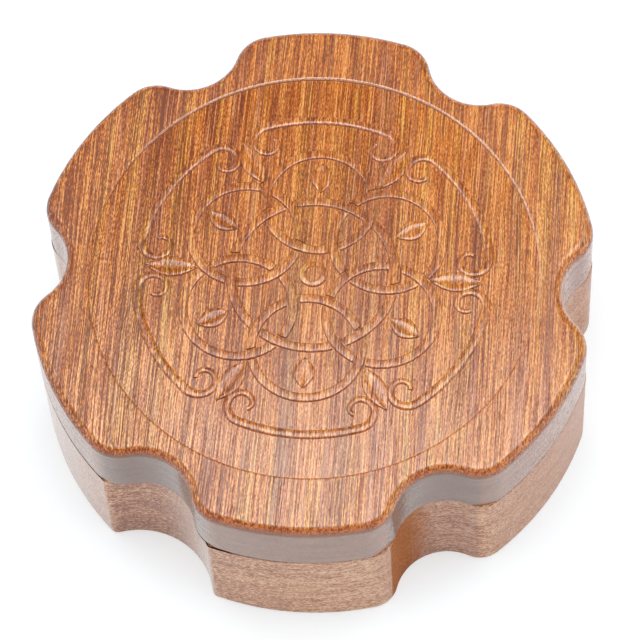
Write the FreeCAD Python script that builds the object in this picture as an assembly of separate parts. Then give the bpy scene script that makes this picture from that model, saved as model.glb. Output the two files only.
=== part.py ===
import FreeCAD, Part

# Dice storage chest: a six-lobed hardwood box in two halves, which hold each other
# with magnets. Six round wells lie round a seventh, one under each lobe, and each
# half has its share of every well's depth, so that a die stands in both halves.
# Millimetres. The origin is the centre of the underside, and +Z is up.

import math
import os

from FreeCAD import Vector

# Driving dimensions.
LOBES = 6                   # six equal wells fit exactly round a seventh

WELL_DIAMETER = 26.0        # room for the largest die of a set, a twenty-sided one
WELL_WALL = 5.5             # wood between neighbouring wells
RIM_WALL = 12.5             # wood between an outer well and the face of its lobe
WELL_MOUTH_ROUND = 0.6      # eased edge at the mouth of a well

NOTCH_DEPTH = 7.3           # from the lobe circle in to the bottom of a finger notch
NOTCH_RADIUS = 10.5         # hollow of a finger notch in the lid
CORNER_RADIUS = 7.5         # rounding from a notch's flank into the face of a lobe, lid

# The base was cut by hand, and its notches differ: the two in front are as they look, and
# those round the sides and the back have sizes between.
BASE_NOTCH_RADIUS = 11.0
BASE_CORNER_RADIUS = 6.0
BACK_LEFT_NOTCH_RADIUS = 12.5
BACK_LEFT_CORNER_RADIUS = 4.0
FRONT_LEFT_NOTCH_RADIUS = 15.5
FRONT_LEFT_CORNER_RADIUS = 1.8
FRONT_RIGHT_NOTCH_RADIUS = 10.5
FRONT_RIGHT_CORNER_RADIUS = 5.5

BASE_HEIGHT = 25.0
BASE_FLOOR = 7.5            # wood under the wells of the base
LID_HEIGHT = 14.0
LID_ROOF = 5.4              # wood between the lid's wells and the medallion's floor
TOP_EDGE_ROUND = 2.0        # hand-softened edge round the top of the lid
BOTTOM_EDGE_ROUND = 0.6     # softened edge round the underside of the base
SEAM_EDGE_ROUND = 0.15      # eased edges where the two halves meet

MEDALLION_DEPTH = 0.6       # sunk round field on top of the lid
MEDALLION_RIM = 4.7         # flat wood left between the field and a notch's bottom
MEDALLION_EDGE_ROUND = 0.5

MAGNET_DIAMETER = 8.0
MAGNET_THICKNESS = 3.0
MAGNET_WALL = 4.2           # wood between a magnet and the bottom of a notch
MAGNET_FIT = 0.05           # glue gap round a magnet
MAGNET_SINK = 0.15          # a magnet lies this far under the face it pulls on

FELT_THICKNESS = 1.5
FELT_GAP = 0.3              # round a felt disc, inside the wall of its well

# Sizes that follow.
LOBE_STEP = 360.0 / LOBES
WELL_RADIUS = WELL_DIAMETER / 2
WELL_CIRCLE = WELL_DIAMETER + WELL_WALL
CHEST_RADIUS = WELL_CIRCLE + WELL_RADIUS + RIM_WALL
NOTCH_BOTTOM = CHEST_RADIUS - NOTCH_DEPTH
CHEST_HEIGHT = BASE_HEIGHT + LID_HEIGHT
LID_WELL_ROOF = CHEST_HEIGHT - MEDALLION_DEPTH - LID_ROOF
MEDALLION_RADIUS = NOTCH_BOTTOM - MEDALLION_RIM
MAGNET_RADIUS = MAGNET_DIAMETER / 2
MAGNET_CIRCLE = NOTCH_BOTTOM - MAGNET_WALL - MAGNET_RADIUS
FELT_RADIUS = WELL_RADIUS - FELT_GAP

# Hollow and corner of each notch, from the one that faces +X on, anticlockwise.
LID_NOTCHES = LOBES * [(NOTCH_RADIUS, CORNER_RADIUS)]
BASE_NOTCHES = [
    (BASE_NOTCH_RADIUS, BASE_CORNER_RADIUS),
    (BASE_NOTCH_RADIUS, BASE_CORNER_RADIUS),
    (BACK_LEFT_NOTCH_RADIUS, BACK_LEFT_CORNER_RADIUS),
    (BASE_NOTCH_RADIUS, BASE_CORNER_RADIUS),
    (FRONT_LEFT_NOTCH_RADIUS, FRONT_LEFT_CORNER_RADIUS),
    (FRONT_RIGHT_NOTCH_RADIUS, FRONT_RIGHT_CORNER_RADIUS),
]

UP = Vector(0, 0, 1)
CENTRE = Vector(0, 0, 0)
EPSILON = 1e-4


def polar(radius, degrees, height=0.0):
    """A point at a radius from the chest's axis, in a direction, at a height."""
    angle = math.radians(degrees)
    return Vector(radius * math.cos(angle), radius * math.sin(angle), height)


def mirrored(point):
    """The same point on the other side of the notch that faces +X."""
    return Vector(point.x, -point.y, point.z)


def arc(start, middle, end):
    return Part.Arc(start, middle, end).toShape()


def notch_edges(notch_radius, corner_radius):
    """A notch facing +X between its two corners, and how many degrees off its lobes start."""
    notch_centre = NOTCH_BOTTOM + notch_radius
    notch_axis = Vector(notch_centre, 0, 0)
    # A corner's circle touches the lobe circle from inside and the notch from outside.
    reach = CHEST_RADIUS - corner_radius
    span = notch_radius + corner_radius
    cosine = (reach ** 2 + notch_centre ** 2 - span ** 2) / (2 * reach * notch_centre)
    start = math.degrees(math.acos(cosine))
    corner = polar(reach, start)
    flank = notch_axis + (corner - notch_axis) * (notch_radius / span)
    shoulder = polar(CHEST_RADIUS, start)
    bulge = ((flank - corner) + (shoulder - corner)).normalize()
    turn = corner + bulge * corner_radius
    edges = [
        arc(mirrored(shoulder), mirrored(turn), mirrored(flank)),
        arc(mirrored(flank), Vector(NOTCH_BOTTOM, 0, 0), flank),
        arc(flank, turn, shoulder),
    ]
    return edges, start


def outline_block(bottom, top, notches):
    """A block with a lobed outline, between two heights."""
    edges = []
    for lobe in range(LOBES):
        angle = lobe * LOBE_STEP
        sides, start = notch_edges(*notches[lobe])
        for edge in sides:
            edge.rotate(CENTRE, UP, angle)
            edges.append(edge)
        first = angle + start
        last = angle + LOBE_STEP - notch_edges(*notches[(lobe + 1) % LOBES])[1]
        face = [polar(CHEST_RADIUS, turn) for turn in (first, (first + last) / 2, last)]
        edges.append(arc(*face))
    face = Part.Face(Part.Wire(Part.__sortEdges__(edges)))
    face.translate(Vector(0, 0, bottom))
    return face.extrude(Vector(0, 0, top - bottom))


def rounded_at(solid, height, radius):
    """Round every edge of a solid that lies flat at one height."""
    edges = []
    for edge in solid.Edges:
        box = edge.BoundBox
        if abs(box.ZMin - height) < EPSILON and abs(box.ZMax - height) < EPSILON:
            edges.append(edge)
    return solid.makeFillet(radius, edges)


def rounded_circles(solid, height, circle_radius, radius):
    """Round the circular edges of one radius that lie flat at one height."""
    edges = []
    for edge in solid.Edges:
        if not isinstance(edge.Curve, Part.Circle):
            continue
        flat = abs(edge.BoundBox.ZMin - height) < EPSILON and edge.BoundBox.ZLength < EPSILON
        if flat and abs(edge.Curve.Radius - circle_radius) < EPSILON:
            edges.append(edge)
    return solid.makeFillet(radius, edges)


def well_places():
    """Names and centres of the wells: one in the middle, one under each lobe."""
    places = {"centre": CENTRE}
    for lobe in range(LOBES):
        places[str(lobe + 1)] = polar(WELL_CIRCLE, (lobe + 0.5) * LOBE_STEP)
    return places


def magnet_places():
    """Names and centres of the magnets, each between two wells, behind a notch."""
    places = {}
    for lobe in range(LOBES):
        places[str(lobe + 1)] = polar(MAGNET_CIRCLE, lobe * LOBE_STEP)
    return places


def disc(radius, place, bottom, top):
    """An upright cylinder at a place, between two heights."""
    foot = Vector(place.x, place.y, bottom)
    return Part.makeCylinder(radius, top - bottom, foot, UP)


def make_base():
    """Lower half: the block, its wells, and the magnets' bores in its upper face."""
    block = outline_block(0, BASE_HEIGHT, BASE_NOTCHES)
    block = rounded_at(block, 0, BOTTOM_EDGE_ROUND)
    block = rounded_at(block, BASE_HEIGHT, SEAM_EDGE_ROUND)
    cuts = []
    for place in well_places().values():
        cuts.append(disc(WELL_RADIUS, place, BASE_FLOOR, BASE_HEIGHT))
    block = rounded_circles(block.cut(cuts), BASE_HEIGHT, WELL_RADIUS, WELL_MOUTH_ROUND)
    bore_floor = BASE_HEIGHT - MAGNET_SINK - MAGNET_THICKNESS
    bores = []
    for place in magnet_places().values():
        bores.append(disc(MAGNET_RADIUS + MAGNET_FIT, place, bore_floor, BASE_HEIGHT))
    return block.cut(bores)


def make_lid():
    """Upper half: the block, its sunk medallion field, its wells and its bores."""
    block = outline_block(BASE_HEIGHT, CHEST_HEIGHT, LID_NOTCHES)
    block = rounded_at(block, CHEST_HEIGHT, TOP_EDGE_ROUND)
    block = rounded_at(block, BASE_HEIGHT, SEAM_EDGE_ROUND)
    field_floor = CHEST_HEIGHT - MEDALLION_DEPTH
    block = block.cut(disc(MEDALLION_RADIUS, CENTRE, field_floor, CHEST_HEIGHT))
    block = rounded_circles(block, CHEST_HEIGHT, MEDALLION_RADIUS, MEDALLION_EDGE_ROUND)
    cuts = []
    for place in well_places().values():
        cuts.append(disc(WELL_RADIUS, place, BASE_HEIGHT, LID_WELL_ROOF))
    block = rounded_circles(block.cut(cuts), BASE_HEIGHT, WELL_RADIUS, WELL_MOUTH_ROUND)
    bore_roof = BASE_HEIGHT + MAGNET_SINK + MAGNET_THICKNESS
    bores = []
    for place in magnet_places().values():
        bores.append(disc(MAGNET_RADIUS + MAGNET_FIT, place, BASE_HEIGHT, bore_roof))
    return block.cut(bores)


def make_magnets():
    """A magnet in each bore of the base, and its partner above it in the lid."""
    pieces = {}
    for name, place in magnet_places().items():
        top = BASE_HEIGHT - MAGNET_SINK
        pieces["base_magnet_" + name] = disc(MAGNET_RADIUS, place, top - MAGNET_THICKNESS, top)
        foot = BASE_HEIGHT + MAGNET_SINK
        pieces["lid_magnet_" + name] = disc(MAGNET_RADIUS, place, foot, foot + MAGNET_THICKNESS)
    return pieces


def make_felts():
    """A felt disc on the floor of each well of the base, and in the roof of the lid's."""
    pieces = {}
    for name, place in well_places().items():
        top = BASE_FLOOR + FELT_THICKNESS
        pieces["base_felt_" + name] = disc(FELT_RADIUS, place, BASE_FLOOR, top)
        foot = LID_WELL_ROOF - FELT_THICKNESS
        pieces["lid_felt_" + name] = disc(FELT_RADIUS, place, foot, LID_WELL_ROOF)
    return pieces


def single_solid(shape):
    """The one solid inside a shape that a cut returned."""
    if len(shape.Solids) != 1:
        raise ValueError("a piece came out as %d solids" % len(shape.Solids))
    return shape.Solids[0]


def build():
    os.makedirs("parts", exist_ok=True)
    pieces = {"base": single_solid(make_base()), "lid": single_solid(make_lid())}
    pieces.update(make_magnets())
    pieces.update(make_felts())
    for node, shape in pieces.items():
        shape.exportStep("parts/" + node + ".step")
        print(node, round(shape.Volume, 1), "mm3", "valid" if shape.isValid() else "INVALID")


build()
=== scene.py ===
# %% [markdown]
# # A lobed dice chest in hardwood
#
# The chest is two blocks of wood, a base and a lift-off lid, with magnets in the seam and
# felt in seven round wells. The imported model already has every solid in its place, so this
# lesson dresses it: two woods, plated magnets, napped felt, and the low carving on the lid.

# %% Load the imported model
import math

import bmesh
import bpy
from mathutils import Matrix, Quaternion, Vector


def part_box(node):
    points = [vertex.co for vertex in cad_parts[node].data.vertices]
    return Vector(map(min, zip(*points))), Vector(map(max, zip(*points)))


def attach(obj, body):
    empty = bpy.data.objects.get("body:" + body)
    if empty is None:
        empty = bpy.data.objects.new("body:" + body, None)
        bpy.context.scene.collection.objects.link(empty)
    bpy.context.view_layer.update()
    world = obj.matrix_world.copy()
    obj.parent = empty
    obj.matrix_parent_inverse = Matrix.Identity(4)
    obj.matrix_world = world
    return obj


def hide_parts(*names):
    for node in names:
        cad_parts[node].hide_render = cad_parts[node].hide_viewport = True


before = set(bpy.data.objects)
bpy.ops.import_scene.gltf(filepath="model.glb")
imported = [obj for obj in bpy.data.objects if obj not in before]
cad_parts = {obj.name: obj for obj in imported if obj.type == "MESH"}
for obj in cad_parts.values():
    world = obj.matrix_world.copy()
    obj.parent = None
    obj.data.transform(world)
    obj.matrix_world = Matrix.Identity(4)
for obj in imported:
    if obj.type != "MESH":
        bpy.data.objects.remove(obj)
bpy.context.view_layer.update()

MM = 0.001

# %% [markdown]
# ## Sizes read from the solids
#
# A finish or a carving has to sit on the real piece, so its places come from the solids'
# own boxes. Only what no box tells, such as the depth of the sunk field, is a named value.

# %% Sizes of the lid and the base
LID_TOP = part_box("lid")[1].z
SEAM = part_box("base")[1].z
FIELD_RADIUS = 45.0 * MM
FIELD_DEPTH = 0.6 * MM
FIELD_FLOOR = LID_TOP - FIELD_DEPTH
LOBES = 6
LOBE_STEP = 2 * math.pi / LOBES
print("lid top", round(LID_TOP / MM, 2), "mm, seam", round(SEAM / MM, 2), "mm")

# %% [markdown]
# ## Shader maths that reads like maths
#
# A wood needs many noise fields added and multiplied. Placing each Math node by hand hides
# the idea, so a small class wraps a node's output, and `+`, `-`, `*` and `/` add the nodes.

# %% A wrapped socket
class Field:
    """A value that changes over a surface: one output of a node."""

    def __init__(self, tree, socket):
        self.tree = tree
        self.socket = socket

    def math(self, operation, *others):
        return node(self.tree, "ShaderNodeMath", {"operation": operation}, self, *others)

    def __add__(self, other):
        return self.math("ADD", other)

    def __radd__(self, other):
        return self.math("ADD", other)

    def __sub__(self, other):
        return self.math("SUBTRACT", other)

    def __rsub__(self, other):
        return node(self.tree, "ShaderNodeMath", {"operation": "SUBTRACT"}, other, self)

    def __mul__(self, other):
        return self.math("MULTIPLY", other)

    def __rmul__(self, other):
        return self.math("MULTIPLY", other)

    def __truediv__(self, other):
        return self.math("DIVIDE", other)

    def rise(self, low, high):
        """0 below low, 1 above high, and a straight climb between."""
        return node(self.tree, "ShaderNodeMapRange", {"clamp": True},
                    Value=self, From_Min=low, From_Max=high)


# %% One way to add any node
def node(tree, kind, settings, *inputs, output=0, **named):
    """Adds a node: settings first, then the values or links of its sockets."""
    made = tree.nodes.new(kind)
    for key, value in settings.items():
        setattr(made, key, value)
    wanted = list(enumerate(inputs))
    wanted += [(key.replace("_", " "), value) for key, value in named.items()]
    for key, value in wanted:
        if isinstance(value, Field):
            tree.links.new(value.socket, made.inputs[key])
        else:
            made.inputs[key].default_value = value
    return Field(tree, made.outputs[output])


def mix_colour(tree, factor, first, second, blend="MIX"):
    """Mixes two colours, which a Math node would turn grey."""
    made = tree.nodes.new("ShaderNodeMix")
    made.data_type = "RGBA"
    made.blend_type = blend
    for place, value in ((0, factor), (6, first), (7, second)):
        if isinstance(value, Field):
            tree.links.new(value.socket, made.inputs[place])
        elif place:
            made.inputs[place].default_value = (*value, 1.0)
        else:
            made.inputs[place].default_value = value
    return Field(tree, made.outputs[2])


# %% A new material with its surface shader
def new_material(name, **constants):
    """A Principled material, with the values that are the same all over it."""
    material = bpy.data.materials.new(name)
    material.use_nodes = True
    tree = material.node_tree
    shader = tree.nodes["Principled BSDF"]
    for key, value in constants.items():
        shader.inputs[key.replace("_", " ")].default_value = value
    return material, tree, shader


def feed(tree, shader, **fields):
    """Links what changes over the surface."""
    for key, field in fields.items():
        tree.links.new(field.socket, shader.inputs[key.replace("_", " ")])


print("shader helpers ready")

# %% [markdown]
# ## Wood that is solid all through
#
# A picture of wood wrapped round a block would slide at its corners. Real grain goes through
# the block: long streaks where a face runs along the fibres, dots where it cuts across them.
# Noise in three dimensions does the same if it is stretched along the fibres. The lid's
# fibres run front to back and the base's from side to side, as the two blocks were cut.

# %% Noise stretched along the fibres
GRAIN_RISE = 0.12


def millimetres(tree):
    """Object coordinates in millimetres."""
    place = node(tree, "ShaderNodeTexCoord", {}, output=3)
    split = tree.nodes.new("ShaderNodeSeparateXYZ")
    tree.links.new(place.socket, split.inputs[0])
    return [Field(tree, out) * (1 / MM) for out in split.outputs]


def fibre_axes(tree, fibres):
    """The same place as along the fibres, across them and up."""
    x, y, z = millimetres(tree)
    if fibres == "Y":
        return y, x, z
    return x + z * GRAIN_RISE, y, z - x * GRAIN_RISE


def streaks(tree, axes, length, width, height, detail=1.0, seed=0.0):
    """Noise whose grains have this length, width and height in millimetres."""
    along, across, up = axes
    place = node(tree, "ShaderNodeCombineXYZ", {},
                 along / length + seed, across / width + seed, up / height)
    return node(tree, "ShaderNodeTexNoise", {"noise_dimensions": "3D"},
                Vector=place, Scale=1.0, Detail=detail, Roughness=0.55)


def wandering(tree, axes, reach):
    """The same axes with the fibres wandering a little sideways."""
    along, across, up = axes
    slow = streaks(tree, axes, 70, 22, 22, seed=3.1) - 0.5
    quick = streaks(tree, axes, 14, 7, 7, seed=8.4) - 0.5
    return along, across + slow * (2.4 * reach) + quick * (0.5 * reach), up


def ramp(tree, field, stops):
    """Colours at places on a scale, with straight steps between: the two ends come first."""
    made = tree.nodes.new("ShaderNodeValToRGB")
    scale = made.color_ramp.elements
    for index, (place, colour) in enumerate(stops):
        stop = scale[index] if index < 2 else scale.new(place)
        stop.position = place
        stop.color = (*colour, 1.0)
    tree.links.new(field.socket, made.inputs[0])
    return Field(tree, made.outputs[0])


# %% [markdown]
# ## Masks: where a finish changes
#
# The blocks don't look the same all over. End grain is darker, shade is painted into the
# notches, and the seam is a dark line of painted shadow. A mask is 1 where such a thing is
# and 0 elsewhere, and it is made from the place and from the way that the face looks, so it
# needs no painted picture.

# %% Where a place is, and how its face looks
def facing(tree):
    """How much a face looks towards +X, +Y and +Z."""
    normal = node(tree, "ShaderNodeTexCoord", {}, output=1)
    split = tree.nodes.new("ShaderNodeSeparateXYZ")
    tree.links.new(normal.socket, split.inputs[0])
    return [Field(tree, out) for out in split.outputs]


def reach_from(tree, centre=(0.0, 0.0)):
    """How far a place is from an upright line through the centre, in millimetres."""
    x, y, _ = millimetres(tree)
    away_x = x - centre[0]
    away_y = y - centre[1]
    return (away_x * away_x + away_y * away_y).math("SQRT")


def clamped(field):
    """The same value, held between 0 and 1."""
    return field.math("MAXIMUM", 0.0).math("MINIMUM", 1.0)


# %% Walls and notches
# Reaches are in millimetres from the middle, and the notches' limits are values of y.
WELLS_REACH = 46.0
NOTCH_REACH = 56.4
NOTCH_BACK = -18.0
NOTCH_FRONT = -30.0


def outer_wall(tree, upright, level):
    """1 on the walls round the outside, 0 in the wells and where a face turns level."""
    _, _, look_z = facing(tree)
    outside = reach_from(tree).rise(WELLS_REACH, WELLS_REACH + 1.0)
    return outside * (1 - look_z.math("ABSOLUTE").rise(upright, level))


def in_notch(tree):
    """1 in the two front notches, which lie nearer the middle than the lobes' faces."""
    x, y, _ = millimetres(tree)
    reach = reach_from(tree) + x.rise(0.0, 16.0)
    return (1 - reach.rise(NOTCH_REACH, NOTCH_REACH + 0.4)) * y.rise(NOTCH_BACK, NOTCH_FRONT)


# %% The line where the halves meet
SEAM_CORE = 0.22
SEAM_EDGE = 0.40
SEAM_COLOUR = (0.050, 0.014, 0.006, 1)
GAPE_CENTRE = (-18.6, -52.2)
GAPE_CORE = 1.0
GAPE_REACH = 9.0
GAPE_HEIGHT = 0.35


def seam_shadow(tree):
    """The dark line at the seam: finest to the right, and open at one corner."""
    _, _, z = millimetres(tree)
    look_x, _, _ = facing(tree)
    gape = 1 - reach_from(tree, GAPE_CENTRE).rise(GAPE_CORE, GAPE_REACH)
    off = (z - SEAM / MM).math("ABSOLUTE") - gape * GAPE_HEIGHT
    line = 1 - off.rise(SEAM_CORE, SEAM_EDGE)
    shown = (0.2 + look_x.rise(-0.05, -0.35) * 0.8) * (1 - in_notch(tree))
    shown = shown.math("MAXIMUM", gape.rise(0.0, 0.25))
    return line * shown * outer_wall(tree, 0.90, 0.99)


def darken(tree, shader, mask):
    """Lets a dull dark shader take over where the mask is 1."""
    dark = node(tree, "ShaderNodeBsdfDiffuse", {}, Color=SEAM_COLOUR)
    mixed = node(tree, "ShaderNodeMixShader", {}, mask, Field(tree, shader.outputs[0]), dark)
    tree.links.new(mixed.socket, tree.nodes["Material Output"].inputs["Surface"])


# %% [markdown]
# ## The lid's wood
#
# The top shows long grain: five noises from broad bands down to grit are added to one tone,
# and a ramp turns that into colour. Tints, threads and pores go over it. The walls are end
# grain, darker and striped by sanding, and the rim shows it as specks. Light is painted in as
# well: a paler front and a deeper back for the sheen, shade in the notches, and a highlight on
# the field's far rim.

# %% Colours of the lid
LID_RAMP = ((0.12, (0.21, 0.046, 0.006)), (0.92, (0.75, 0.350, 0.105)),
            (0.36, (0.415, 0.108, 0.011)), (0.54, (0.54, 0.160, 0.014)),
            (0.72, (0.62, 0.222, 0.032)))
GOLD_TINT = (0.98, 1.16, 1.05)
PURPLE_TINT = (0.80, 0.76, 1.30)
BACK_LESS_SHEEN_TINT = (1.03, 0.955, 0.83)
THREAD_COLOUR = (0.15, 0.036, 0.008)
LID_PORE_COLOUR = (0.10, 0.030, 0.010)
RIM_DARK, RIM_LIGHT = (0.23, 0.048, 0.013), (0.63, 0.195, 0.062)
END_DARK, END_LIGHT = (0.235, 0.084, 0.034), (0.365, 0.136, 0.054)
LID_NOTCH_SHADE = (0.14, 0.068, 0.042)
FLANK_COLOUR = (0.50, 0.150, 0.050)
FIELD_RIM_HIGHLIGHT = (0.86, 0.54, 0.37)


# %% The field's far rim, where a highlight is painted
def far_rim(tree):
    """1 on the round at the field's edge, where it looks to the front and the left, for a painted
    highlight.
    """
    look_x, look_y, look_z = facing(tree)
    reach = reach_from(tree)
    edge = FIELD_RADIUS / MM
    inside = reach.rise(edge - 1.0, edge - 0.6) * (1 - reach.rise(edge + 0.8, edge + 1.2))
    return (look_y + look_x * 0.5).rise(-0.05, -0.25) * inside * look_z.rise(0.05, 0.35)


# %% The lid's wood
def lid_wood():
    material, tree, shader = new_material(
        "lid_wood", Coat_Roughness=0.18, Coat_IOR=1.5, IOR=1.5)
    axes = wandering(tree, fibre_axes(tree, "Y"), 1.0)
    along, across, up = axes

    # Where the faces are.
    look_x, look_y, look_z = facing(tree)
    cut_across = look_y * look_y
    side = cut_across.rise(0.30, 0.70)
    upward = look_z.rise(0.05, 0.35)
    wall = outer_wall(tree, 0.05, 0.35)
    notch = in_notch(tree) * wall
    flank = (look_x * look_x).rise(0.30, 0.80) * wall
    rim = up.rise(LID_TOP / MM - 0.20, LID_TOP / MM - 0.05)
    left = (-1 * across).rise(5.0, 45.0) * upward

    # What the grain is made of.
    bands = streaks(tree, axes, 120, 5.0, 8.0, detail=2.0, seed=1.0)
    ribbons = streaks(tree, axes, 50, 1.5, 2.0, detail=2.0, seed=5.0)
    lines = streaks(tree, axes, 45.0, 0.44, 0.50, seed=9.0)
    hairs = streaks(tree, axes, 16.0, 0.24, 0.28, seed=14.0)
    grit = streaks(tree, axes, 0.7, 0.24, 0.28, detail=0.0, seed=17.0)
    pores = streaks(tree, axes, 3.0, 0.28, 0.28, detail=0.0, seed=21.0).rise(0.62, 0.72)
    purple = streaks(tree, axes, 110, 2.6, 4.0, detail=2.0, seed=25.0).rise(0.52, 0.62)
    threads = streaks(tree, axes, 28.0, 0.34, 0.34, detail=0.0, seed=29.0).rise(0.58, 0.68)
    gold = streaks(tree, axes, 90, 2.8, 5.0, detail=3.0, seed=47.0).rise(0.52, 0.62)
    sanding = streaks(tree, axes, 14.0, 14.0, 0.5, seed=53.0)

    # Long grain, with more contrast to the left, and a front painted paler as a sheen.
    wave = ((bands - 0.5) * 0.5 + (ribbons - 0.5) * 0.6 + (lines - 0.5) * 0.8
            + (hairs - 0.5) * 1.9 + (grit - 0.5) * 1.1)
    wave = wave * (1 + (-1 * across).rise(0.0, 40.0) * 0.30)
    tone = wave + across * 0.0022 + (-1 * along).rise(30, 56) * 0.09 + 0.49
    body = ramp(tree, tone, LID_RAMP)
    body = mix_colour(tree, gold, body, GOLD_TINT, "MULTIPLY")
    body = mix_colour(tree, purple, body, PURPLE_TINT, "MULTIPLY")
    # Painted sheen, the other way: the back deeper and more orange, where less sheen falls.
    body = mix_colour(tree, along.rise(0.0, 45.0), body, BACK_LESS_SHEEN_TINT, "MULTIPLY")
    body = mix_colour(tree, threads * 0.55, body, THREAD_COLOUR)
    body = mix_colour(tree, pores * 0.45, body, LID_PORE_COLOUR)

    # Specks on the rim, end grain on the walls, a colour for the flanks, painted shade in the
    # notches, and a painted highlight on the field's far rim.
    specks = mix_colour(tree, tone.rise(0.25, 0.85), RIM_DARK, RIM_LIGHT)
    body = mix_colour(tree, cut_across.rise(0.03, 0.30) * upward, body, specks)
    rings = (ribbons * 0.3 + lines * 0.3 + sanding * 0.4).rise(0.35, 0.65)
    ends = mix_colour(tree, rings, END_DARK, END_LIGHT)
    ended = wall.math("MAXIMUM", cut_across.rise(0.50, 0.95)) * 0.92
    body = mix_colour(tree, ended, body, ends)
    # Painted shade: the notch walls darker, as they get less light.
    body = mix_colour(tree, notch * 0.55, body, LID_NOTCH_SHADE)
    body = mix_colour(tree, flank * (1 - notch) * 0.5, body, FLANK_COLOUR)
    # Painted highlight: a pale line on the field's far rim, where the polish would catch the
    # lamp.
    rim_highlight = far_rim(tree) * (0.25 + grit.rise(0.35, 0.65) * 0.45)
    body = mix_colour(tree, rim_highlight, body, FIELD_RIM_HIGHLIGHT)

    # Polish lies thinner in the grain.
    height = (lines + hairs + grit * 0.6 - pores * 0.5) * (1 - side * 0.95)
    bump = node(tree, "ShaderNodeBump", {}, Strength=0.4, Distance=0.11 * MM, Height=height)
    shine = ((hairs - 0.5) * 2.2 + (lines - 0.5) * 1.4 - pores * 0.5) * (1 - side)
    scuffs = ((sanding - 0.5) * 1.2 + (grit - 0.5) * 0.4) * wall
    coat = 0.86 + shine * (1 + left * 0.5) + scuffs - flank * 0.30 - left * 0.40
    feed(tree, shader, Base_Color=body, Roughness=0.20 + lines * 0.06 + rim * 0.20,
         Normal=bump, Coat_Weight=clamped(coat))
    darken(tree, shader, seam_shadow(tree))
    return material


# %% [markdown]
# ## The base's wood
#
# A closed base shows only its walls. Its fibres run from side to side and climb a little, so the
# front is short flecks to the left and longer lines to the right. The front right notch has
# a rusty flank, and the walls that look left are polished most. Shade is painted into the
# notches, and a sheen is painted into the colour of the walls that look left.

# %% Colours of the base
BASE_RAMP = ((0.10, (0.34, 0.098, 0.024)), (0.92, (1.0, 0.62, 0.35)),
             (0.50, (0.73, 0.270, 0.084)))
BASE_PORE_COLOUR = (0.16, 0.05, 0.025)
BASE_END_COLOUR = (0.38, 0.105, 0.024)
NOTCH_SHADE_TINT = (0.78, 0.70, 0.73)
RUST_DARK, RUST_LIGHT = (0.32, 0.085, 0.012), (0.62, 0.215, 0.044)
PAINTED_SHEEN_DARK, PAINTED_SHEEN_LIGHT = (0.56, 0.45, 0.38), (0.80, 0.70, 0.62)


# %% The base's wood
def base_wood():
    material, tree, shader = new_material(
        "base_wood", Coat_Roughness=0.24, Coat_IOR=1.5, IOR=1.5)
    axes = wandering(tree, fibre_axes(tree, "X"), 0.5)
    along, _, up = axes

    # Where the faces are.
    look_x, _, _ = facing(tree)
    lookout = -1 * look_x
    cut_across = look_x * look_x
    wall = outer_wall(tree, 0.40, 0.90)
    notch = in_notch(tree) * wall
    rightward = along.rise(-8.0, 12.0)
    bright = along.rise(0.0, 10.0) * (1 - along.rise(18.0, 28.0))
    high = up.rise(12.0, 24.0) * 0.5

    # What the grain is made of.
    bands = streaks(tree, axes, 60, 9.0, 4.0, detail=2.0, seed=31.0)
    ribbons = streaks(tree, axes, 16, 2.5, 1.1, detail=2.0, seed=35.0)
    flecks = streaks(tree, axes, 1.3, 0.40, 0.30, seed=39.0)
    long_lines = streaks(tree, axes, 4.0, 0.50, 0.30, seed=57.0)
    hairs = streaks(tree, axes, 0.55, 0.30, 0.24, seed=42.0)
    pores = streaks(tree, axes, 0.9, 0.34, 0.30, detail=0.0, seed=45.0).rise(0.60, 0.70)
    lines = flecks * (1 - rightward) + long_lines * rightward

    # Rust, grip and polish.
    # Rust, painted shade in the notches, polish, and painted sheen on the walls that look left.
    ragged = (bands - 0.5) * 0.5 + (hairs - 0.5) * 0.5
    rust = notch * (look_x + ragged - high * 0.3).rise(0.30, 0.85)
    notch_shade = notch * (1 - lookout.rise(0.30, 0.80) * 0.7) * (1 - high)
    polish = lookout.rise(0.30, 0.80) * wall
    painted_sheen_mask = lookout.rise(0.40, 0.95) * wall * 0.15

    wave = (bands - 0.5) * 0.5 + (ribbons - 0.5) * 0.6 + (lines - 0.5) * 1.7 + (hairs - 0.5) * 2.0
    tone = wave + rightward * 0.09 + bright * 0.08 + along.rise(25, 50) * 0.05 + 0.45
    body = ramp(tree, tone, BASE_RAMP)
    body = mix_colour(tree, pores * 0.5, body, BASE_PORE_COLOUR)
    body = mix_colour(tree, cut_across * 0.55, body, BASE_END_COLOUR)
    # Painted shade: the notches darker and pinker, most low down, least where they look left.
    body = mix_colour(tree, notch_shade, body, NOTCH_SHADE_TINT, "MULTIPLY")
    burnt = mix_colour(tree, lines.rise(0.30, 0.70), RUST_DARK, RUST_LIGHT)
    body = mix_colour(tree, rust * 0.85, body, burnt)
    # Painted sheen: a pale grey colour on the walls that look left, where the polish reflects the
    # white room.
    painted_sheen = mix_colour(tree, (lines + hairs * 0.5).rise(0.55, 0.95), PAINTED_SHEEN_DARK, PAINTED_SHEEN_LIGHT)
    body = mix_colour(tree, painted_sheen_mask, body, painted_sheen)

    height = lines + hairs - pores * 0.5
    bump = node(tree, "ShaderNodeBump", {}, Strength=0.3, Distance=0.08 * MM, Height=height)
    shine = (hairs - 0.5) * 2.2 + (lines - 0.5) * 2.2 - pores * 0.4 - rust * 0.9
    coat = 0.82 + shine - look_x.rise(0.30, 0.90) * wall * 0.25 + polish * 0.35
    rough = 0.42 + lines * 0.14 + rust * 0.45 - polish * 0.24
    feed(tree, shader, Base_Color=body, Roughness=rough, Normal=bump, Coat_Weight=clamped(coat))
    darken(tree, shader, seam_shadow(tree))
    return material


LID_WOOD = lid_wood()
BASE_WOOD = base_wood()
print("woods:", LID_WOOD.name, BASE_WOOD.name)

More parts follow.
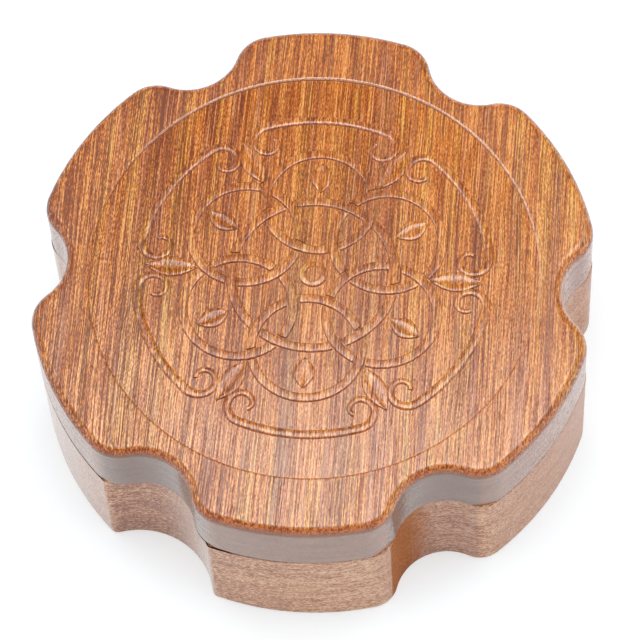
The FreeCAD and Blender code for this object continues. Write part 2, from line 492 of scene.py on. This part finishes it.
# %% [markdown]
# ## Magnets and felt
#
# The magnets are plated discs, bright and a little smeared. Felt is a mat of fibres that
# lie every way, so its colour is broken up at the scale of a fibre, and it has a soft sheen.

# %% Plated metal
def magnet_plate():
    material, tree, shader = new_material("magnet_plate", Metallic=1.0)
    axes = fibre_axes(tree, "X")
    smears = streaks(tree, axes, 1.5, 1.5, 1.5, detail=3.0, seed=51.0)
    tint = mix_colour(tree, smears, (0.60, 0.58, 0.54), (0.78, 0.76, 0.72))
    feed(tree, shader, Base_Color=tint, Roughness=0.16 + smears * 0.2)
    return material


# %% Napped felt
def well_felt():
    material, tree, shader = new_material(
        "well_felt", Sheen_Weight=0.35, Sheen_Roughness=0.5, Specular_IOR_Level=0.2)
    axes = fibre_axes(tree, "X")
    nap = streaks(tree, axes, 0.5, 0.16, 0.3, detail=2.0, seed=61.0)
    cross = streaks(tree, axes, 0.16, 0.5, 0.3, detail=2.0, seed=66.0)
    clumps = streaks(tree, axes, 3.0, 3.0, 3.0, detail=2.0, seed=71.0)
    fuzz = nap * 0.5 + cross * 0.5
    tone = mix_colour(tree, fuzz.rise(0.35, 0.65), (0.022, 0.020, 0.021), (0.100, 0.092, 0.094))
    tone = mix_colour(tree, clumps * 0.35, tone, (0.045, 0.042, 0.044))
    bump = node(tree, "ShaderNodeBump", {}, Strength=0.9, Distance=0.25 * MM, Height=fuzz)
    feed(tree, shader, Base_Color=tone, Roughness=0.85 + fuzz * 0.15, Normal=bump)
    return material


MAGNET_PLATE = magnet_plate()
WELL_FELT = well_felt()

# %% Give each solid its finish
finishes = {"lid": LID_WOOD, "base": BASE_WOOD}
for name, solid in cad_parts.items():
    finish = finishes.get(name, MAGNET_PLATE if "magnet" in name else WELL_FELT)
    solid.data.materials.clear()
    solid.data.materials.append(finish)
print("finishes given to", len(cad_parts), "solids")

# %% [markdown]
# ## The carving on the lid
#
# The field holds a low relief: six loops woven over and under a ring, leaves between them,
# and arcs with curled ends round the outside. Each band could be a curve with a bevel, or a
# displaced plane. Here a small upright profile with softened shoulders is spun round the
# centre of its arc, as a cutter would follow it, and each crossing is cut with a clear gap.

# %% Sizes of the carving
BAND_WIDTH = 2.0 * MM
BAND_HEIGHT = 0.37 * MM
BAND_SHOULDER = 0.38 * MM
BAND_ROOT = 0.05 * MM
CROSSING_GAP = 0.32 * MM
RING_RADIUS = 16.5 * MM
LOOP_RADIUS = 11.0 * MM
ARC_RADIUS = 35.5 * MM
SHOULDER_STEPS = 3
JOIN_REACH = 0.002 * MM
CARVING_SHARP = math.radians(40)


# %% Helpers for edit mode
def alone(piece):
    """Selects one object and makes it active."""
    bpy.ops.object.select_all(action="DESELECT")
    piece.select_set(True)
    bpy.context.view_layer.objects.active = piece


def pick(piece, kind, test):
    """Selects the vertices, edges or faces of the piece in edit mode that pass a test."""
    bpy.ops.mesh.select_mode(type=kind)
    bpy.ops.mesh.select_all(action="DESELECT")
    mesh = bmesh.from_edit_mesh(piece.data)
    parts = {"VERT": mesh.verts, "EDGE": mesh.edges, "FACE": mesh.faces}[kind]
    found = [part for part in parts if test(part)]
    for part in found:
        part.select = True
    mesh.select_flush_mode()
    bmesh.update_edit_mesh(piece.data)
    return len(found)


def apply_modifier(piece, kind, **settings):
    """Adds a modifier, sets it and applies it."""
    alone(piece)
    modifier = piece.modifiers.new(kind.lower(), kind)
    for key, value in settings.items():
        setattr(modifier, key, value)
    bpy.ops.object.modifier_apply(modifier=modifier.name)


def around(radius, angle, centre=(0.0, 0.0)):
    """A point at a radius and an angle round a centre, on the field's floor."""
    return Vector((centre[0] + radius * math.cos(angle), centre[1] + radius * math.sin(angle), 0))


# %% A profile that a band is spun from
def band_profile(name, place, heading, width, low, high, shoulder):
    """An upright plane across a band's start, with its two top corners softened."""
    bpy.ops.object.select_all(action="DESELECT")
    middle = (place.x, place.y, (low + high) / 2)
    turn = (math.pi / 2, 0, heading + math.pi / 2)
    bpy.ops.mesh.primitive_plane_add(size=1, location=middle, rotation=turn)
    piece = bpy.context.object
    piece.name = name
    piece.scale = (width, high - low, 1)
    bpy.ops.object.transform_apply(location=True, rotation=True, scale=True)
    bpy.ops.object.mode_set(mode="EDIT")
    if shoulder:
        pick(piece, "VERT", lambda corner: corner.co.z > (low + high) / 2)
        bpy.ops.mesh.bevel(affect="VERTICES", offset=shoulder, segments=SHOULDER_STEPS)
    bpy.ops.mesh.select_mode(type="FACE")
    bpy.ops.mesh.select_all(action="SELECT")
    return piece


def spin_on(centre, turn, steps):
    """Spins what is selected round a centre. A positive turn is anticlockwise from above."""
    bpy.ops.mesh.spin(steps=steps, angle=-turn, center=centre, axis=(0, 0, 1))


def close_band(piece):
    """Joins doubled points and turns every face outwards."""
    bpy.ops.mesh.select_all(action="SELECT")
    bpy.ops.mesh.remove_doubles(threshold=JOIN_REACH)
    bpy.ops.mesh.select_all(action="SELECT")
    bpy.ops.mesh.normals_make_consistent(inside=False)
    bpy.ops.object.mode_set(mode="OBJECT")
    return piece


# %% Rings and arcs
BAND_LOW = FIELD_FLOOR - BAND_ROOT
BAND_HIGH = FIELD_FLOOR + BAND_HEIGHT
ON_TOP = BAND_HIGH - 0.001 * MM
STEP = math.radians(3)


def whole_ring(name, centre, radius):
    """A band that goes all the way round."""
    piece = band_profile(name, around(radius, 0, centre), math.pi / 2, BAND_WIDTH,
                         BAND_LOW, BAND_HIGH, BAND_SHOULDER)
    bpy.ops.mesh.delete(type="ONLY_FACE")
    bpy.ops.mesh.select_mode(type="EDGE")
    bpy.ops.mesh.select_all(action="SELECT")
    spin_on((*centre, 0), 2 * math.pi, round(2 * math.pi / STEP))
    return close_band(piece)


def cutter_arc(centre, radius, middle, half):
    """A taller and wider stretch of a band, to cut the gap where it passes over."""
    start = middle - half
    piece = band_profile("cutter", around(radius, start, centre), start + math.pi / 2,
                         BAND_WIDTH + 2 * CROSSING_GAP, FIELD_FLOOR - MM, FIELD_FLOOR + MM, 0)
    spin_on((*centre, 0), 2 * half, round(2 * half / STEP))
    return close_band(piece)


def cut_gaps(piece, cutters):
    """Takes all the cutters out of a band at once."""
    alone(cutters[0])
    for cutter in cutters:
        cutter.select_set(True)
    if len(cutters) > 1:
        bpy.ops.object.join()
    tool = bpy.context.object
    apply_modifier(piece, "BOOLEAN", operation="DIFFERENCE", solver="EXACT", object=tool)
    bpy.data.objects.remove(tool)


# %% [markdown]
# Where bands weave, each one goes over, then under, all the way round. A loop meets the
# ring twice and each neighbour twice. The law of cosines gives the angles of the crossings.

# %% Loops woven round the ring
def loop_centre(number):
    angle = (number + 0.5) * LOBE_STEP
    return around(RING_RADIUS, angle).xy.to_tuple()


def crossing_angles(first, first_radius, second, second_radius):
    """Where a second circle crosses a first, as angles round the first's centre."""
    between = Vector(second) - Vector(first)
    far = between.length
    heading = math.atan2(between.y, between.x)
    cosine = (first_radius ** 2 + far ** 2 - second_radius ** 2) / (2 * first_radius * far)
    opening = math.acos(cosine)
    return heading - opening, heading + opening


HALF_CUT = math.radians(21)
ORIGIN = (0.0, 0.0)
here = loop_centre(0)
behind = loop_centre(-1)

# A loop goes under the loop behind it twice, and under the ring on its forward side.
loop = whole_ring("carved_loop", here, LOOP_RADIUS)
outer, inner = crossing_angles(behind, LOOP_RADIUS, here, LOOP_RADIUS)
under_ring = crossing_angles(ORIGIN, RING_RADIUS, here, LOOP_RADIUS)[1]
ring_half_cut = HALF_CUT * LOOP_RADIUS / RING_RADIUS
cut_gaps(loop, [cutter_arc(behind, LOOP_RADIUS, inner, HALF_CUT),
                cutter_arc(behind, LOOP_RADIUS, outer, HALF_CUT),
                cutter_arc(ORIGIN, RING_RADIUS, under_ring, ring_half_cut)])

# The ring goes under each loop on the loop's backward side.
ring = whole_ring("carved_ring", ORIGIN, RING_RADIUS)
cutters = []
for number in range(LOBES):
    centre = loop_centre(number)
    over_ring = crossing_angles(centre, LOOP_RADIUS, ORIGIN, RING_RADIUS)[1]
    cutters.append(cutter_arc(centre, LOOP_RADIUS, over_ring, HALF_CUT))
cut_gaps(ring, cutters)
print("one loop and the ring are woven")

# %% [markdown]
# A curled arc is one band that turns tighter and tighter. Each stretch is a spin of the last
# profile round a nearer centre, and the profile shrinks a little before each spin.

# %% Arcs with curled ends
# Each stretch of a curl is a turn and the radius that it is made at, from the arc inwards.
CURL = ((math.radians(70), 3.6 * MM), (math.radians(80), 2.9 * MM),
        (math.radians(90), 2.2 * MM), (math.radians(80), 1.5 * MM))
ARC_HALF = math.radians(20)
CURL_TAPER = 0.86
CURL_STEPS = 4


def curled_arc(name, middle):
    """An arc on the outer circle whose two ends curl in."""
    path = [(turn, radius, 1 / CURL_TAPER) for turn, radius in reversed(CURL)]
    path += [(2 * ARC_HALF, ARC_RADIUS, 1.0)]
    path += [(turn, radius, CURL_TAPER) for turn, radius in CURL]
    # Walk back from the middle of the arc to find where the first curl starts.
    place = around(ARC_RADIUS, middle - ARC_HALF)
    heading = middle - ARC_HALF + math.pi / 2
    for turn, radius in CURL:
        centre = place + around(radius, heading + math.pi / 2)
        heading -= turn
        place = centre + around(radius, heading - math.pi / 2)
    width = BAND_WIDTH * CURL_TAPER ** len(CURL)
    piece = band_profile(name, place, heading, width, BAND_LOW, BAND_HIGH, BAND_SHOULDER)
    for turn, radius, grow in path:
        steps = round(turn / STEP)
        if radius < ARC_RADIUS:
            steps = max(CURL_STEPS, round(turn / (2 * STEP)))
        centre = place + around(radius, heading + math.pi / 2)
        for _ in range(steps):
            part = turn / steps
            spin_on(centre, part, 1)
            heading += part
            place = centre + around(radius, heading - math.pi / 2)
            size = grow ** (1 / steps)
            bpy.ops.transform.resize(value=(size, size, 1), center_override=place)
    return close_band(piece)


arc = curled_arc("carved_arc", 0.5 * LOBE_STEP)
print("arc faces:", len(arc.data.polygons))

# %% [markdown]
# A leaf is the same upright profile drawn out along a line, wider and then narrower. A
# vertex in the middle of its top, pushed down, draws the vein as the profile travels.

# %% Leaves
LEAF_STEPS = 18
LEAF_TIP = 0.05
LEAF_FULLNESS = 0.9
VEIN_DEPTH = 0.16 * MM
VEIN_REACH = 0.1 * MM


def leaf(name, near, far, angle, width):
    """A pointed leaf with a vein, along a radius."""
    place = around(near, angle)
    piece = band_profile(name, place, angle, width, BAND_LOW, BAND_HIGH, BAND_SHOULDER)
    pick(piece, "EDGE", lambda edge: all(v.co.z > ON_TOP for v in edge.verts))
    bpy.ops.mesh.subdivide(number_cuts=3)
    pick(piece, "VERT", lambda v: v.co.z > ON_TOP and (v.co - place).xy.length < VEIN_REACH)
    bpy.ops.transform.translate(value=(0, 0, -VEIN_DEPTH))
    bpy.ops.mesh.select_all(action="SELECT")
    swell = [math.sin(math.pi * step / LEAF_STEPS) ** LEAF_FULLNESS
             for step in range(LEAF_STEPS + 1)]
    breadths = [LEAF_TIP + (1 - LEAF_TIP) * part for part in swell]
    bpy.ops.transform.resize(value=(breadths[0], breadths[0], 1), center_override=place)
    stride = around(far - near, angle) / LEAF_STEPS
    for before, after in zip(breadths, breadths[1:]):
        bpy.ops.mesh.extrude_region_move(TRANSFORM_OT_translate={"value": stride})
        place += stride
        size = after / before
        bpy.ops.transform.resize(value=(size, size, 1), center_override=place)
    return close_band(piece)


leaves = [
    leaf("carved_leaf", near=23.4 * MM, far=33.6 * MM, angle=0, width=4.6 * MM),
    leaf("carved_petal", near=18.6 * MM, far=25.4 * MM, angle=0.5 * LOBE_STEP, width=4.4 * MM)]
print("leaf faces:", [len(piece.data.polygons) for piece in leaves])

# %% The boss in the middle
BOSS_RADIUS = 2.9 * MM
BOSS_SIDES = 64
BOSS_RIM = 0.7 * MM
BOSS_STEP = 0.25 * MM

bpy.ops.object.select_all(action="DESELECT")
bpy.ops.mesh.primitive_cylinder_add(vertices=BOSS_SIDES, radius=BOSS_RADIUS,
                                    depth=BAND_HIGH - BAND_LOW,
                                    location=(0, 0, (BAND_LOW + BAND_HIGH) / 2))
boss = bpy.context.object
boss.name = "carved_boss"
bpy.ops.object.transform_apply(location=True, rotation=True, scale=True)
bpy.ops.object.mode_set(mode="EDIT")
pick(boss, "EDGE", lambda edge: all(v.co.z > ON_TOP for v in edge.verts))
bpy.ops.mesh.bevel(offset=BAND_SHOULDER, segments=SHOULDER_STEPS)
pick(boss, "FACE", lambda face: face.normal.z > 0.99)
bpy.ops.mesh.inset(thickness=BOSS_RIM)
bpy.ops.mesh.inset(thickness=BOSS_STEP, depth=-BOSS_STEP)
bpy.ops.object.mode_set(mode="OBJECT")
print("boss faces:", len(boss.data.polygons))

# %% [markdown]
# The pattern repeats at every lobe, so one sixth is joined and turned round the middle.
# Each copy gets its own mesh, and the turn is applied, so that all grain stays in line.


# %% Six turns of one sixth
def joined(name, pieces):
    """Makes the pieces one object."""
    alone(pieces[0])
    for piece in pieces:
        piece.select_set(True)
    bpy.ops.object.join()
    bpy.context.object.name = name
    return bpy.context.object


sixth = joined("carved_sixth", [loop, arc, *leaves])
turned = []
for number in range(1, LOBES):
    alone(sixth)
    bpy.ops.object.duplicate()
    copy = bpy.context.object
    copy.rotation_euler.z = number * LOBE_STEP
    bpy.ops.object.transform_apply(location=True, rotation=True, scale=True)
    turned.append(copy)
lid_carving = joined("lid_carving", [ring, sixth, boss, *turned])
lid_carving.data.materials.clear()
lid_carving.data.materials.append(LID_WOOD)

# %% Smooth shoulders, flat tops
alone(lid_carving)
bpy.ops.object.shade_smooth_by_angle(angle=CARVING_SHARP)
apply_modifier(lid_carving, "WEIGHTED_NORMAL", weight=100, keep_sharp=True)
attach(lid_carving, "lid")
print("carving faces:", len(lid_carving.data.polygons))

# %% [markdown]
# ## Felt in the wells
#
# Each well has a disc of felt glued to its floor in the base and to its roof in the lid. A
# punched disc of felt has a soft rim and a face that isn't quite flat. Insets that rise a
# little make the rim, and a Displace modifier with a cloud texture makes the face uneven.

# %% One disc of felt
felt_low, felt_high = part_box("base_felt_centre")
FELT_RADIUS = (felt_high.x - felt_low.x) / 2
FELT_THICKNESS = felt_high.z - felt_low.z
FELT_SIDES = 96
FELT_RINGS = 9
FELT_RIM = ((0.12 * MM, 0.16 * MM), (0.22 * MM, 0.12 * MM))
RIM_DROP = sum(rise for _, rise in FELT_RIM)
UNEVEN = 0.10 * MM
CLOUD_SIZE = 3.5 * MM
FELT_SHARP = math.radians(50)

bpy.ops.object.select_all(action="DESELECT")
bpy.ops.mesh.primitive_circle_add(vertices=FELT_SIDES, radius=FELT_RADIUS, fill_type="NGON",
                                  location=(0, 0, FELT_THICKNESS - RIM_DROP - UNEVEN))
felt_disc = bpy.context.object
felt_disc.name = "felt_disc"
bpy.ops.object.transform_apply(location=True, rotation=True, scale=True)
bpy.ops.object.mode_set(mode="EDIT")
bpy.ops.mesh.select_mode(type="FACE")
bpy.ops.mesh.select_all(action="SELECT")
for inwards, rise in FELT_RIM:
    bpy.ops.mesh.inset(thickness=inwards, depth=rise)
for _ in range(FELT_RINGS - 1):
    bpy.ops.mesh.inset(thickness=FELT_RADIUS / (FELT_RINGS + 1))
bpy.ops.mesh.poke()
bpy.ops.object.mode_set(mode="OBJECT")
clouds = bpy.data.textures.new("felt_clouds", "CLOUDS")
clouds.noise_scale = CLOUD_SIZE
apply_modifier(felt_disc, "DISPLACE", texture=clouds, strength=2 * UNEVEN, direction="Z")

# %% Give the disc its thickness and a flat back
bpy.ops.object.mode_set(mode="EDIT")
pick(felt_disc, "EDGE", lambda edge: edge.is_boundary)
bpy.ops.mesh.extrude_edges_move(TRANSFORM_OT_translate={"value": (0, 0, -FELT_THICKNESS / 2)})
bpy.ops.transform.resize(value=(1, 1, 0), center_override=(0, 0, 0))
bpy.ops.mesh.edge_face_add()
bpy.ops.mesh.select_all(action="SELECT")
bpy.ops.mesh.normals_make_consistent(inside=False)
bpy.ops.object.mode_set(mode="OBJECT")
bpy.ops.object.shade_smooth_by_angle(angle=FELT_SHARP)
felt_disc.data.materials.append(WELL_FELT)
print("felt faces:", len(felt_disc.data.polygons))

# %% Fourteen discs, each turned another way
FELT_TURN = math.radians(47)
felt_nodes = sorted(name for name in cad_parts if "felt" in name)
for number, name in enumerate(felt_nodes):
    low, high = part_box(name)
    body = name.split("_")[0]
    alone(felt_disc)
    bpy.ops.object.duplicate()
    disc = bpy.context.object
    disc.name = name + "_nap"
    disc.location = ((low.x + high.x) / 2, (low.y + high.y) / 2, low.z)
    disc.rotation_euler.z = number * FELT_TURN
    if body == "lid":
        disc.location.z = high.z
        disc.rotation_euler.x = math.pi
    bpy.ops.object.transform_apply(location=True, rotation=True, scale=True)
    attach(disc, body)
    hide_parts(name)
    "laid" if body == "base" else "stretched"
bpy.data.objects.remove(felt_disc)
print("discs of felt laid:", len(felt_nodes))

# %% [markdown]
# ## Floor, light and camera
#
# The chest stands on a white table under two broad soft lamps, with a soft panel at each
# side. The floor is white to the camera by its own colour, so the lamps stay at a plain
# level and the wood keeps its colour. The floor lies a hair lower than the underside, so
# that the two never share one plane.

# %% White floor that keeps the shadow
FLOOR_SIZE = 6.0
FLOOR_GAP = 0.05 * MM
FLOOR_NEAR = 0.25
FLOOR_FAR = 0.60

bpy.ops.object.select_all(action="DESELECT")
bpy.ops.mesh.primitive_plane_add(size=FLOOR_SIZE, location=(0, 0, -FLOOR_GAP))
floor = bpy.context.object
floor.name = "floor"


def seen_directly(tree):
    """1 for rays from the camera, in reflections and through glass."""
    rays = tree.nodes.new("ShaderNodeLightPath")
    camera = Field(tree, rays.outputs["Is Camera Ray"])
    glossy = Field(tree, rays.outputs["Is Glossy Ray"])
    through = Field(tree, rays.outputs["Is Transmission Ray"])
    return camera.math("MAXIMUM", glossy).math("MAXIMUM", through)


def white_floor():
    """Takes light as plain white, and looks lit from within to the camera."""
    material = bpy.data.materials.new("white_floor")
    material.use_nodes = True
    tree = material.node_tree
    tree.nodes.clear()
    plain = node(tree, "ShaderNodeBsdfDiffuse", {}, Color=(0.8, 0.8, 0.8, 1))
    shadowed = node(tree, "ShaderNodeBsdfDiffuse", {}, Color=(0.49, 0.54, 0.57, 1))
    glow = node(tree, "ShaderNodeEmission", {}, Color=(1, 1, 1, 1), Strength=0.55)
    bright = node(tree, "ShaderNodeAddShader", {}, shadowed, glow)
    place = node(tree, "ShaderNodeTexCoord", {}, output=3)
    reach = node(tree, "ShaderNodeVectorMath", {"operation": "LENGTH"}, place, output=1)
    far = reach.rise(FLOOR_NEAR, FLOOR_FAR)
    white = node(tree, "ShaderNodeEmission", {}, Color=(1, 1, 1, 1), Strength=1.0)
    sweep = node(tree, "ShaderNodeMixShader", {}, far, bright, white)
    mixed = node(tree, "ShaderNodeMixShader", {}, seen_directly(tree), plain, sweep)
    out = tree.nodes.new("ShaderNodeOutputMaterial")
    tree.links.new(mixed.socket, out.inputs["Surface"])
    return material


floor.data.materials.append(white_floor())
print("floor:", FLOOR_SIZE, "m wide")


# %% World
HORIZON_LOW = 0.30
HORIZON_HIGH = 0.50
HORIZON_LEAN = 0.5


def set_world(fill, room):
    """A white sweep round the horizon, a dimmer room above it, and an even fill as light."""
    world = bpy.data.worlds.new("studio")
    bpy.context.scene.world = world
    world.use_nodes = True
    tree = world.node_tree
    tree.nodes.clear()
    direction = node(tree, "ShaderNodeTexCoord", {}, output=0)
    split = tree.nodes.new("ShaderNodeSeparateXYZ")
    tree.links.new(direction.socket, split.inputs[0])
    leftward = Field(tree, split.outputs[0]).math("MINIMUM", 0.0)
    upward = Field(tree, split.outputs[2]) + leftward * HORIZON_LEAN
    high = upward.rise(HORIZON_LOW, HORIZON_HIGH)
    levels = [node(tree, "ShaderNodeBackground", {}, Color=(1, 1, 1, 1), Strength=strength)
              for strength in (1.0, room, fill)]
    picture = node(tree, "ShaderNodeMixShader", {}, high, levels[0], levels[1])
    sky = node(tree, "ShaderNodeMixShader", {}, seen_directly(tree), levels[2], picture)
    out = tree.nodes.new("ShaderNodeOutputWorld")
    tree.links.new(sky.socket, out.inputs["Surface"])


set_world(fill=0.25, room=0.06)


# %% Lamps
SOFTBOX_HEIGHT = 0.72
SOFTBOX_WIDTH = 0.7
BACK_Y = 0.1075
FRONT_Y = -0.195
PANEL_X = 0.95
PANEL_Y = -0.10
PANEL_HEIGHT = 0.45
PANEL_WIDTH = 0.8
PANEL_DEPTH = 0.7


def soft_lamp(name, place, target, width, depth, power):
    """An area lamp that points from its place to its target."""
    light = bpy.data.lights.new(name, "AREA")
    light.shape = "RECTANGLE"
    light.size = width
    light.size_y = depth
    light.energy = power
    lamp = bpy.data.objects.new(name, light)
    bpy.context.scene.collection.objects.link(lamp)
    lamp.location = place
    lamp.rotation_euler = (Vector(target) - Vector(place)).to_track_quat("-Z", "Y").to_euler()
    return lamp


def softbox(name, y, depth, power):
    """A lamp over the table that shines straight down."""
    return soft_lamp(name, (0, y, SOFTBOX_HEIGHT), (0, y, 0), SOFTBOX_WIDTH, depth, power)


def panel(name, x, power):
    """A lamp at one side, turned to the chest."""
    return soft_lamp(name, (x, PANEL_Y, PANEL_HEIGHT), (0, 0, 0), PANEL_WIDTH, PANEL_DEPTH, power)


softbox("back_softbox", BACK_Y, depth=0.415, power=4.6)
front_softbox = softbox("front_softbox", FRONT_Y, depth=0.19, power=1.2)
front_softbox.visible_glossy = False
panel("left_panel", -PANEL_X, power=0.7)
panel("right_panel", PANEL_X, power=1.2)

# %% Camera
CAMERA_AZIMUTH = math.radians(8.56)
CAMERA_ELEVATION = math.radians(62.54)
CAMERA_ROLL = math.radians(-4.40)
CAMERA_DISTANCE = 0.8069
CAMERA_TARGET = Vector((-0.76, 9.61, 0)) * MM
CAMERA_LENS = 216.6

level = math.cos(CAMERA_ELEVATION)
back = Vector((math.sin(CAMERA_AZIMUTH) * level, -math.cos(CAMERA_AZIMUTH) * level,
               math.sin(CAMERA_ELEVATION)))
camera_data = bpy.data.cameras.new("camera")
camera_data.lens = CAMERA_LENS
camera_data.sensor_width = 36
camera_data.clip_start = 0.01
camera = bpy.data.objects.new("camera", camera_data)
bpy.context.scene.collection.objects.link(camera)
camera.location = CAMERA_TARGET + back * CAMERA_DISTANCE
camera.rotation_mode = "QUATERNION"
camera.rotation_quaternion = back.to_track_quat("Z", "Y") @ Quaternion((0, 0, 1), CAMERA_ROLL)
bpy.context.scene.camera = camera
bpy.context.scene.view_settings.view_transform = "Standard"
print("camera:", round(CAMERA_DISTANCE, 3), "m from its target")
